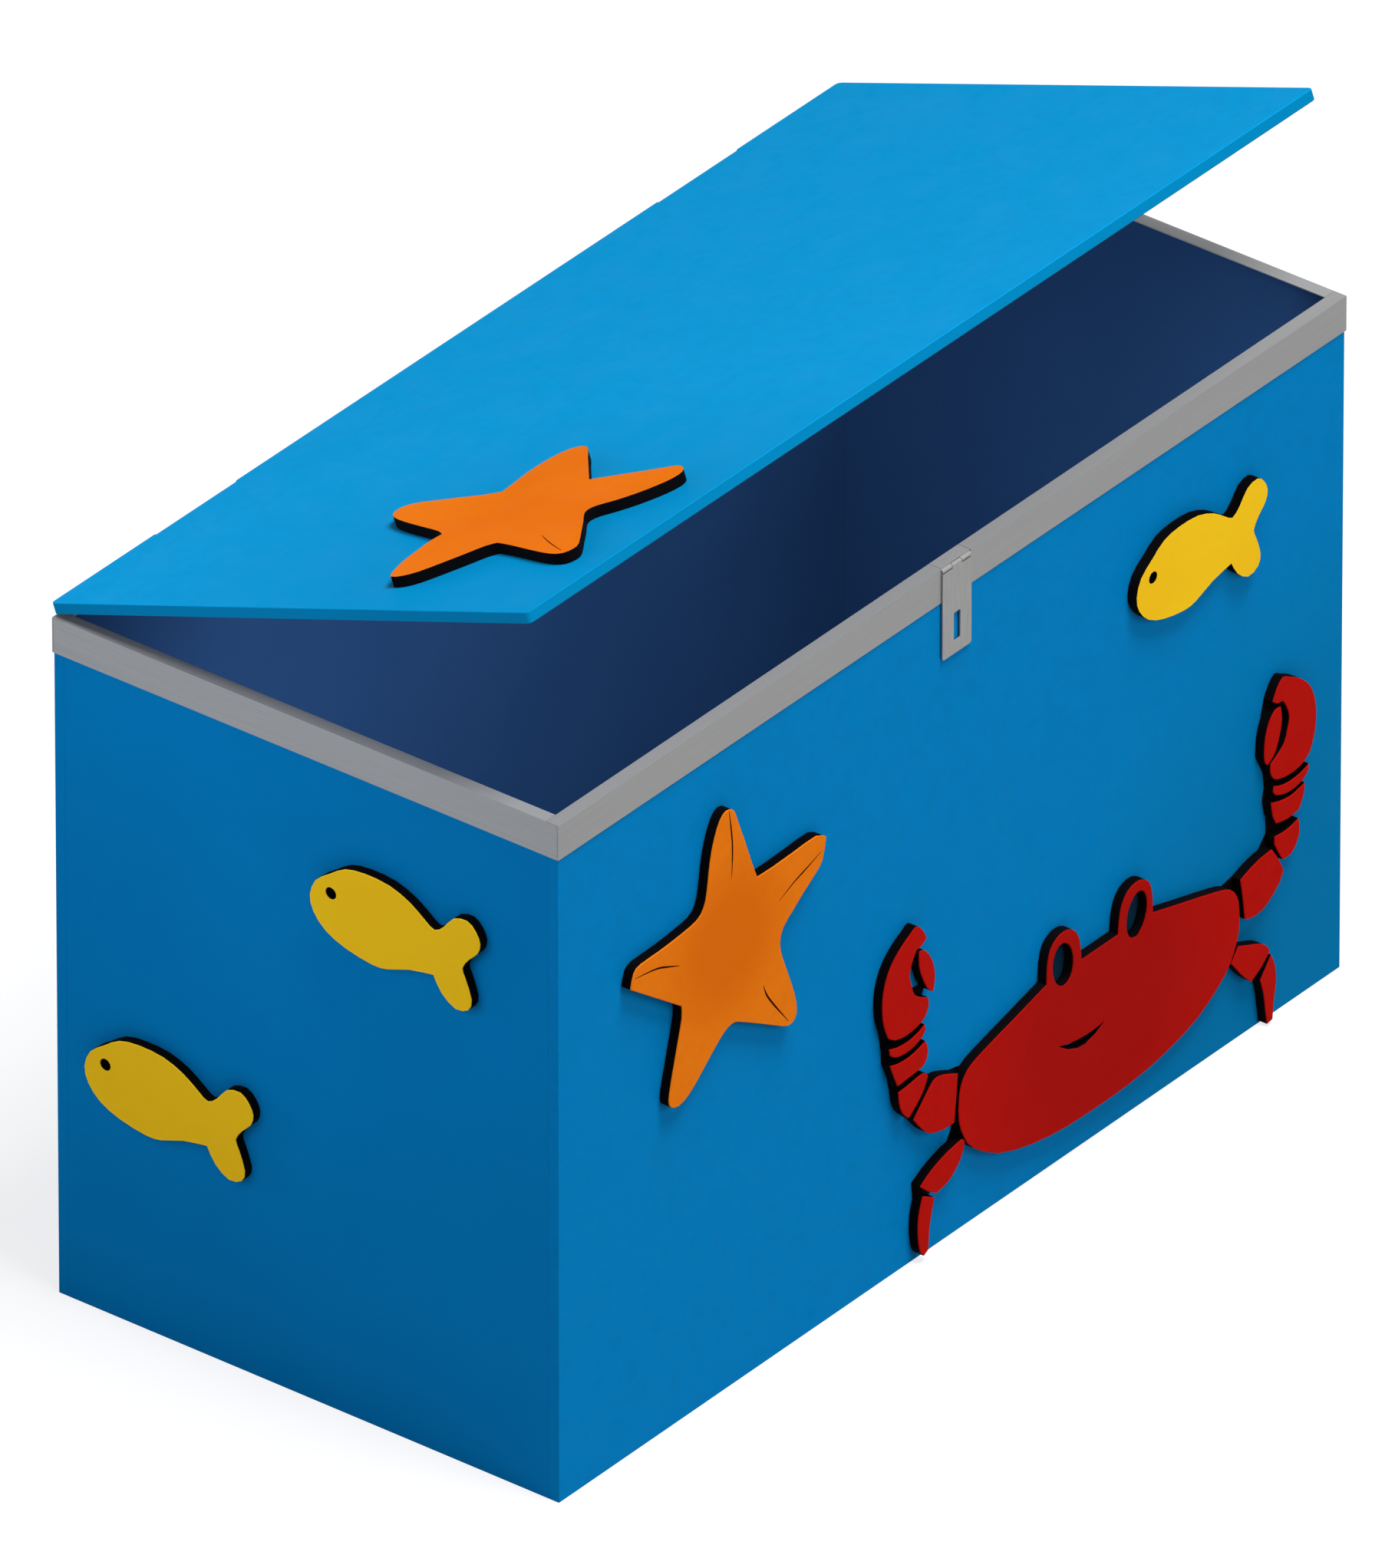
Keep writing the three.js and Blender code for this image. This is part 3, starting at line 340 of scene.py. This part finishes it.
screw_metal = brushed_metal(
    "screw_metal", SCREW_ZINC, SCREW_ZINC_DEEP, LINES_ON_SCREWS, SCREW_SHEEN, BRIGHT_METAL)


# Modelling

def choose(piece):
    bpy.ops.object.select_all(action="DESELECT")
    piece.select_set(True)
    bpy.context.view_layer.objects.active = piece


def whole_copy(node, name):
    """A copy of a solid with its triangles joined and its flat faces whole again."""
    piece = bpy.data.objects.new(name, nodes[node].data.copy())
    piece.data.name = name
    bpy.context.scene.collection.objects.link(piece)
    choose(piece)
    bpy.ops.object.mode_set(mode="EDIT")
    bpy.ops.mesh.select_all(action="SELECT")
    bpy.ops.mesh.remove_doubles(threshold=WELD)
    bpy.ops.mesh.dissolve_limited(angle_limit=math.radians(FLAT_ANGLE))
    bpy.ops.object.mode_set(mode="OBJECT")
    if piece.data.has_custom_normals:
        bpy.ops.mesh.customdata_custom_splitnormals_clear()
    return piece


def select_edges(piece, wanted):
    """Selects the sharp edges that wanted(first point, second point, normals) picks."""
    mesh = piece.data
    sides = {}
    for face in mesh.polygons:
        for key in face.edge_keys:
            sides.setdefault(key, []).append(face.normal)
    for face in mesh.polygons:
        face.select = False
    for vertex in mesh.vertices:
        vertex.select = False
    for edge in mesh.edges:
        normals = sides.get(tuple(sorted(edge.vertices)), [])
        sharp = len(normals) == 2 and normals[0].dot(normals[1]) < EDGE_TO_ROUND
        first, second = (mesh.vertices[i].co for i in edge.vertices)
        edge.select = sharp and wanted(first, second, normals)


def round_edges(piece, rounding, wanted):
    width, steps = rounding
    choose(piece)
    select_edges(piece, wanted)
    bpy.ops.object.mode_set(mode="EDIT")
    bpy.ops.mesh.select_mode(type="EDGE")
    bpy.ops.mesh.bevel(
        offset=width, segments=steps, profile=0.5, affect="EDGES", clamp_overlap=True)
    bpy.ops.object.mode_set(mode="OBJECT")


def smooth(piece, degrees=SHARP_ANGLE):
    """Smooth shading over the rounded edges, with the flat faces beside them kept flat."""
    choose(piece)
    bpy.ops.object.shade_smooth_by_angle(angle=math.radians(degrees))
    flat = piece.modifiers.new("flat_faces", "WEIGHTED_NORMAL")
    flat.weight = FLAT_FACE_WEIGHT
    flat.keep_sharp = True
    bpy.ops.object.modifier_apply(modifier="flat_faces")


def long_edge(first, second, normals):
    return (first - second).length > LONG_EDGE


BOX_LOW = Vector((LEFT_FACE, FRONT_FACE, 0))
BOX_HIGH = Vector((-LEFT_FACE, -FRONT_FACE, 1))


def outside_edge(first, second, normals):
    """An edge where two of the box's outer faces meet, and not a joint between its boards."""
    faces = 0
    for axis in range(3):
        for plane in (BOX_LOW[axis], BOX_HIGH[axis]):
            faces += max(abs(first[axis] - plane), abs(second[axis] - plane)) < SAME_PLACE
    return faces == 2


def any_edge(first, second, normals):
    return True


def coat(piece, materials, pick):
    """Gives each face the material whose number pick(face) returns."""
    piece.data.materials.clear()
    for made in materials:
        piece.data.materials.append(made)
    for face in piece.data.polygons:
        face.material_index = pick(face)


def finish_piece(piece, node):
    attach(piece, nodes[node]["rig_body"])
    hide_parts(node)


# Walls: blue outside, darker than the lid's as painted shade, and navy inside

WALL_OUTWARD = {
    "front_panel": Vector((0, -1, 0)),
    "back_panel": Vector((0, 1, 0)),
    "left_panel": Vector((-1, 0, 0)),
    "right_panel": Vector((1, 0, 0)),
}
for node, outward in WALL_OUTWARD.items():
    wall = whole_copy(node, node + "_painted")
    round_edges(wall, BOARD_ROUND, outside_edge)
    outside_paint = front_wall_shaded_paint if node == "front_panel" else wall_shaded_paint
    coat(wall, [outside_paint, navy_paint],
         lambda face: 1 if face.normal.dot(outward) < -FACING else 0)
    smooth(wall)
    finish_piece(wall, node)

# Lid: rounded all round, blue above and navy below

lid_normal = LID_TURN @ Vector((0, 0, 1))
lid = whole_copy("lid_panel", "lid_painted")
lid_flat = [LID_TURN.inverted() @ (vertex.co - LID_AXIS) for vertex in lid.data.vertices]
lid_low = Vector(min(point[i] for point in lid_flat) for i in range(3))
lid_high = Vector(max(point[i] for point in lid_flat) for i in range(3))


def on_lid_outline(first, second, normals):
    for point in (first, second):
        flat = LID_TURN.inverted() @ (point - LID_AXIS)
        level = min(abs(flat.z - lid_low.z), abs(flat.z - lid_high.z))
        inset = min(
            flat.x - lid_low.x, lid_high.x - flat.x, flat.y - lid_low.y, lid_high.y - flat.y)
        if level > SAME_PLACE or inset > LID_OUTLINE_REACH:
            return False
    return any(abs(normal.dot(lid_normal)) > SQUARE_ON for normal in normals)


round_edges(lid, LID_ROUND, on_lid_outline)


def lid_coat(face):
    """Blue on top, a deeper blue round the edge as painted shade, and navy below."""
    upward = face.normal.dot(lid_normal)
    if upward < -SQUARE_ON:
        return 2
    return 1 if upward < LID_RIM_SLOPE else 0


coat(lid, [lid_paint, lid_edge_shaded_paint, navy_paint], lid_coat)
smooth(lid)
finish_piece(lid, "lid_panel")

# Trims over the walls' top edges

for side in ("front", "back", "left", "right"):
    node = side + "_trim"
    trim = whole_copy(node, node + "_brushed")
    round_edges(trim, TRIM_ROUND, long_edge)
    # The side trims' lighter grey is painted light on the less lit sides
    metal = trim_along_x if side in ("front", "back") else side_trim_lit_metal
    coat(trim, [metal], lambda face: 0)
    smooth(trim)
    finish_piece(trim, node)

# Sea animals: coloured faces with a slightly rounded rim, and black sides

FRONT_OUT = Vector((0, -1, 0))
LEFT_OUT = Vector((-1, 0, 0))
ANIMALS = {
    "front_starfish": (FRONT_OUT, front_star_paint, "orange_paint"),
    "lid_starfish": (lid_normal, lid_star_paint, "orange_paint"),
    "front_fish": (FRONT_OUT, yellow_paint, "yellow_paint"),
    "left_upper_fish": (LEFT_OUT, yellow_paint, "yellow_paint"),
    "left_lower_fish": (LEFT_OUT, yellow_paint, "yellow_paint"),
}
for node in nodes:
    if node.startswith("crab_"):
        ANIMALS[node] = (FRONT_OUT, red_paint, "red_paint")

# The starfish's creases: points along each, across and up in millimetres. Those on the front count
# from the box's left side and the floor, and that on the lid from its left end and its front edge.
FRONT_CREASES = [
    [(185, 493), (187, 480), (189, 465), (189, 450), (188, 435)],
    [(77, 405.5), (100, 403), (115, 397), (128, 391.5)],
    [(292, 407), (275, 401), (260, 397), (243, 389)],
    [(225, 327), (227, 320), (232, 312), (240, 301), (254, 283)],
]
LID_CREASES = [[(87.5, 36), (99, 58), (112, 75)]]
CREASE_RADIUS = 0.0008
CREASE_TAPER = 0.25
MM = 0.001


def crease_cutter(points):
    """A thin tube that narrows at both ends."""
    line = bpy.data.curves.new("crease", "CURVE")
    line.dimensions = "3D"
    line.bevel_depth = CREASE_RADIUS
    line.bevel_resolution = 2
    line.use_fill_caps = True
    run = line.splines.new("NURBS")
    run.points.add(len(points) - 1)
    run.use_endpoint_u = True
    run.order_u = 3
    for i, (spot, place) in enumerate(zip(run.points, points)):
        spot.co = (*place, 1)
        spot.radius = CREASE_TAPER if i in (0, len(points) - 1) else 1
    cutter = bpy.data.objects.new("crease", line)
    bpy.context.scene.collection.objects.link(cutter)
    choose(cutter)
    bpy.ops.object.convert(target="MESH")
    cutter = bpy.context.object
    bpy.ops.object.mode_set(mode="EDIT")
    bpy.ops.mesh.select_all(action="SELECT")
    bpy.ops.mesh.remove_doubles(threshold=CUTTER_WELD)
    bpy.ops.mesh.normals_make_consistent(inside=False)
    bpy.ops.object.mode_set(mode="OBJECT")
    coat(cutter, [crease_line_and_shade_paint], lambda face: 0)
    return cutter


def carve(piece, cutters):
    for cutter in cutters:
        choose(piece)
        cut = piece.modifiers.new("crease", "BOOLEAN")
        cut.operation = "DIFFERENCE"
        cut.material_mode = "TRANSFER"
        cut.object = cutter
        bpy.ops.object.modifier_apply(modifier="crease")
        bpy.data.objects.remove(cutter)


def front_crease(points):
    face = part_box("front_starfish")[0].y
    return [Vector((LEFT_FACE + across * MM, face, up * MM)) for across, up in points]


def lid_crease(points):
    corners = nodes["lid_starfish"].data.vertices
    top = max((LID_TURN.inverted() @ (vertex.co - LID_AXIS)).z for vertex in corners)
    places = []
    for across, up in points:
        flat = Vector((LEFT_FACE + across * MM, lid_low.y + up * MM, top))
        places.append(LID_AXIS + LID_TURN @ flat)
    return places


for node, (outward, face_paint, slot) in ANIMALS.items():
    animal = whole_copy(node, node + "_painted")
    top = max(vertex.co.dot(outward) for vertex in animal.data.vertices)

    def at_face(first, second, normals):
        return min(first.dot(outward), second.dot(outward)) > top - SAME_PLACE

    round_edges(animal, FIGURE_ROUND, at_face)
    coat(animal, [face_paint, black_paint],
         lambda face: 0 if face.normal.dot(outward) > FIGURE_RIM_SLOPE else 1)
    if node == "front_starfish":
        carve(animal, [crease_cutter(front_crease(points)) for points in FRONT_CREASES])
    if node == "lid_starfish":
        carve(animal, [crease_cutter(lid_crease(points)) for points in LID_CREASES])
    smooth(animal)
    finish_piece(animal, node)

# Thin paint on the front wall behind the crab: black where its limbs meet, and at its eyes a dark
# blue that is painted shade in the holes. Each film is as deep as this share of a figure. A joint's
# film takes the corners within reach of the other piece, and a thumb's films those near its two
# ends. The eyes lie evenly beside the middle.

PAINT_SHARE = 0.018
JOINT_REACH = 0.014
THUMB_END = 0.010
EYE_ACROSS, EYE_UP = 0.0434, 0.1725
EYE_HALF_WIDTH, EYE_HALF_HEIGHT = 0.0140, 0.0205


def painted_patch(points, name, made):
    """A film of paint on the front wall that covers the outline of some of a figure's points."""
    film = bpy.data.meshes.new(name)
    film.from_pydata(points, [], [])
    piece = bpy.data.objects.new(name, film)
    bpy.context.scene.collection.objects.link(piece)
    choose(piece)
    bpy.ops.object.mode_set(mode="EDIT")
    bpy.ops.mesh.select_all(action="SELECT")
    bpy.ops.transform.resize(value=(1, PAINT_SHARE, 1), center_override=(0, FRONT_FACE, 0))
    bpy.ops.mesh.remove_doubles(threshold=FILM_WELD)
    bpy.ops.mesh.convex_hull()
    bpy.ops.mesh.normals_make_consistent(inside=False)
    bpy.ops.object.mode_set(mode="OBJECT")
    coat(piece, [made], lambda face: 0)
    smooth(piece)
    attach(piece, "chest")


def corners_of(node):
    return [vertex.co.copy() for vertex in nodes[node].data.vertices]


def meeting_points(first, second):
    """The points of two pieces that lie close to the other piece."""
    ours, theirs = corners_of(first), corners_of(second)
    near = []
    for here, there in ((ours, theirs), (theirs, ours)):
        for point in here:
            if min((point - other).length for other in there) < JOINT_REACH:
                near.append(point)
    return near


for side in ("left", "right"):
    for first, second in (
        ("body", "shoulder"), ("shoulder", "forearm"), ("forearm", "wrist"), ("wrist", "cuff"),
        ("cuff", "claw"), ("body", "thigh"), ("thigh", "shin"),
    ):
        first_node = "crab_body" if first == "body" else f"crab_{side}_{first}"
        points = meeting_points(first_node, f"crab_{side}_{second}")
        painted_patch(points, f"crab_{side}_{second}_joint_paint", black_paint)
    thumb_low, thumb_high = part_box(f"crab_{side}_thumb")
    pinch = meeting_points(f"crab_{side}_claw", f"crab_{side}_thumb")
    foot = [point for point in pinch if point.z < thumb_low.z + THUMB_END]
    tip = [point for point in pinch if point.z > thumb_high.z - THUMB_END]
    painted_patch(foot, f"crab_{side}_thumb_foot_paint", black_paint)
    painted_patch(tip, f"crab_{side}_thumb_tip_paint", black_paint)

crab_middle = middle_of("crab_body").x
for side, way in (("left", -1), ("right", 1)):
    def in_eye(point):
        across = (point.x - crab_middle - way * EYE_ACROSS) / EYE_HALF_WIDTH
        return across ** 2 + ((point.z - EYE_UP) / EYE_HALF_HEIGHT) ** 2 < 1

    rim = [point for point in corners_of("crab_body") if in_eye(point)]
    painted_patch(rim, f"crab_{side}_eye_paint", eye_paint)

# Hasp and hinges

METALWORK = {"hasp_leaf": hasp_metal, "hasp_strap": hasp_metal}
for side in ("left", "right"):
    for leaf in ("wall_leaf", "lid_leaf"):
        METALWORK[f"{side}_hinge_{leaf}"] = hinge_metal
for node, metal in METALWORK.items():
    piece = whole_copy(node, node + "_plated")
    round_edges(piece, PLATE_ROUND, any_edge)
    coat(piece, [metal], lambda face: 0)
    smooth(piece)
    finish_piece(piece, node)
for node in nodes:
    if "screw" in node or node.endswith("_pin"):
        piece = whole_copy(node, node + "_plated")
        coat(piece, [screw_metal], lambda face: 0)
        smooth(piece, SCREW_SHARP_ANGLE)
        finish_piece(piece, node)

# Boards inside the box

INSIDE_BOARDS = (
    "bottom_panel", "front_batten", "back_batten", "left_batten", "right_batten", "middle_bearer")
for node in INSIDE_BOARDS:
    board = whole_copy(node, node + "_painted")
    round_edges(board, BOARD_ROUND, any_edge)
    coat(board, [navy_paint], lambda face: 0)
    smooth(board)
    finish_piece(board, node)

# Floor, lamps, world and camera. The floor is seen as white with the chest's shadow on it, and it
# throws less light back onto the chest than it shows.

FLOOR_SIZE = 10
FLOOR_GREY = (0.50, 0.50, 0.50)
SEEN_FLOOR_GREY = (0.30, 0.30, 0.30)
SEEN_FLOOR_GLOW = 0.76
AMBIENT = 0.05


def background_rays(tree, rays):
    """Rays that should meet the white background: those of the camera, gloss and glass."""
    first = tree.nodes.new("ShaderNodeMath")
    second = tree.nodes.new("ShaderNodeMath")
    first.operation = second.operation = "MAXIMUM"
    tree.links.new(rays.outputs["Is Camera Ray"], first.inputs[0])
    tree.links.new(rays.outputs["Is Glossy Ray"], first.inputs[1])
    tree.links.new(first.outputs["Value"], second.inputs[0])
    tree.links.new(rays.outputs["Is Transmission Ray"], second.inputs[1])
    return second.outputs["Value"]


def pale_floor():
    bpy.ops.object.select_all(action="DESELECT")
    bpy.ops.mesh.primitive_plane_add(size=FLOOR_SIZE, location=(0, 0, 0))
    floor = bpy.context.object
    floor.name = "floor"
    made = bpy.data.materials.new("pale_floor")
    made.use_nodes = True
    tree = made.node_tree
    tree.nodes.clear()
    output = tree.nodes.new("ShaderNodeOutputMaterial")
    rays = tree.nodes.new("ShaderNodeLightPath")
    plain = tree.nodes.new("ShaderNodeBsdfDiffuse")
    plain.inputs["Color"].default_value = (*FLOOR_GREY, 1)
    shadowed = tree.nodes.new("ShaderNodeBsdfDiffuse")
    shadowed.inputs["Color"].default_value = (*SEEN_FLOOR_GREY, 1)
    white = tree.nodes.new("ShaderNodeEmission")
    white.inputs["Strength"].default_value = SEEN_FLOOR_GLOW
    seen = tree.nodes.new("ShaderNodeAddShader")
    choice = tree.nodes.new("ShaderNodeMixShader")
    tree.links.new(shadowed.outputs["BSDF"], seen.inputs[0])
    tree.links.new(white.outputs["Emission"], seen.inputs[1])
    tree.links.new(background_rays(tree, rays), choice.inputs["Fac"])
    tree.links.new(plain.outputs["BSDF"], choice.inputs[1])
    tree.links.new(seen.outputs["Shader"], choice.inputs[2])
    tree.links.new(choice.outputs["Shader"], output.inputs["Surface"])
    floor.data.materials.append(made)


def softbox(name, place, target, size, power, colour=(1, 1, 1)):
    lamp = bpy.data.lights.new(name, "AREA")
    lamp.shape = "RECTANGLE"
    lamp.color = colour
    lamp.size, lamp.size_y = size
    lamp.energy = power
    holder = bpy.data.objects.new(name, lamp)
    bpy.context.scene.collection.objects.link(holder)
    holder.location = place
    aim = Vector(target) - Vector(place)
    holder.rotation_euler = aim.to_track_quat("-Z", "Y").to_euler()
    holder.visible_camera = False


def studio_world(ambient):
    world = bpy.data.worlds.new("studio")
    bpy.context.scene.world = world
    world.use_nodes = True
    tree = world.node_tree
    tree.nodes.clear()
    output = tree.nodes.new("ShaderNodeOutputWorld")
    rays = tree.nodes.new("ShaderNodeLightPath")
    seen = tree.nodes.new("ShaderNodeBackground")
    seen.inputs["Strength"].default_value = 1
    seen.inputs["Color"].default_value = (1, 1, 1, 1)
    lit = tree.nodes.new("ShaderNodeBackground")
    lit.inputs["Color"].default_value = (1, 1, 1, 1)
    lit.inputs["Strength"].default_value = ambient
    choice = tree.nodes.new("ShaderNodeMixShader")
    tree.links.new(background_rays(tree, rays), choice.inputs["Fac"])
    tree.links.new(lit.outputs["Background"], choice.inputs[1])
    tree.links.new(seen.outputs["Background"], choice.inputs[2])
    tree.links.new(choice.outputs["Shader"], output.inputs["Surface"])


# The photograph's view, from the chest's near lower corner: right and up are in its own plane
AZIMUTH = math.radians(-51.99)
ELEVATION = math.radians(31.79)
LENS = 1200
SENSOR = 36
FRAME_HEIGHT = 1.1234
AIM_RIGHT = 0.0985
AIM_UP = 0.5120
CHEST_MIDDLE = Vector((0, 0, 0.35))
NEAREST, FARTHEST = 1, 100


def photo_camera():
    """A long lens at the photograph's angle. The chest's near lower corner sets the framing."""
    toward = Vector((
        math.sin(AZIMUTH) * math.cos(ELEVATION),
        -math.cos(AZIMUTH) * math.cos(ELEVATION),
        math.sin(ELEVATION),
    ))
    right = Vector((math.cos(AZIMUTH), math.sin(AZIMUTH), 0))
    up = toward.cross(right)
    corner = Vector((LEFT_FACE, FRONT_FACE, 0))
    aim = corner + right * AIM_RIGHT + up * AIM_UP
    depth = (CHEST_MIDDLE - aim).dot(toward)
    lens_data = bpy.data.cameras.new("camera")
    lens_data.lens = LENS
    lens_data.sensor_width = SENSOR
    lens_data.clip_start = NEAREST
    lens_data.clip_end = FARTHEST
    camera = bpy.data.objects.new("camera", lens_data)
    bpy.context.scene.collection.objects.link(camera)
    camera.location = aim + toward * (FRAME_HEIGHT * LENS / SENSOR + depth)
    camera.rotation_euler = (-toward).to_track_quat("-Z", "Y").to_euler()
    bpy.context.scene.camera = camera


pale_floor()

# Each lamp's place, what it points at, its width and height, its power in watts and its colour. The
# two fills stand inside the box, for the light that white surroundings throw onto its inner walls.
LAMP_AIM = (0, 0, 0.4)
COOL = (0.82, 0.88, 1.0)
softbox("overhead_softbox", (0.0, -1.8, 6.0), LAMP_AIM, (2.4, 2.4), 350)
softbox("key_softbox", (0.4, -3.4, 2.0), LAMP_AIM, (2.0, 1.6), 42)
softbox("side_softbox", (-1.15, 0.10, 0.78), LAMP_AIM, (0.7, 0.7), 3.3, COOL)
softbox("back_softbox", (-0.7, 3.2, 0.7), LAMP_AIM, (1.6, 1.2), 25)
softbox("back_wall_fill", (0.05, -0.212, 0.30), (0.05, 1, 0.30), (0.76, 0.5), 1.15)
softbox("right_wall_fill", (-0.44, -0.11, 0.30), (1, -0.11, 0.30), (0.2, 0.5), 1.8)
studio_world(AMBIENT)
photo_camera()
bpy.context.scene.view_settings.view_transform = "Standard"
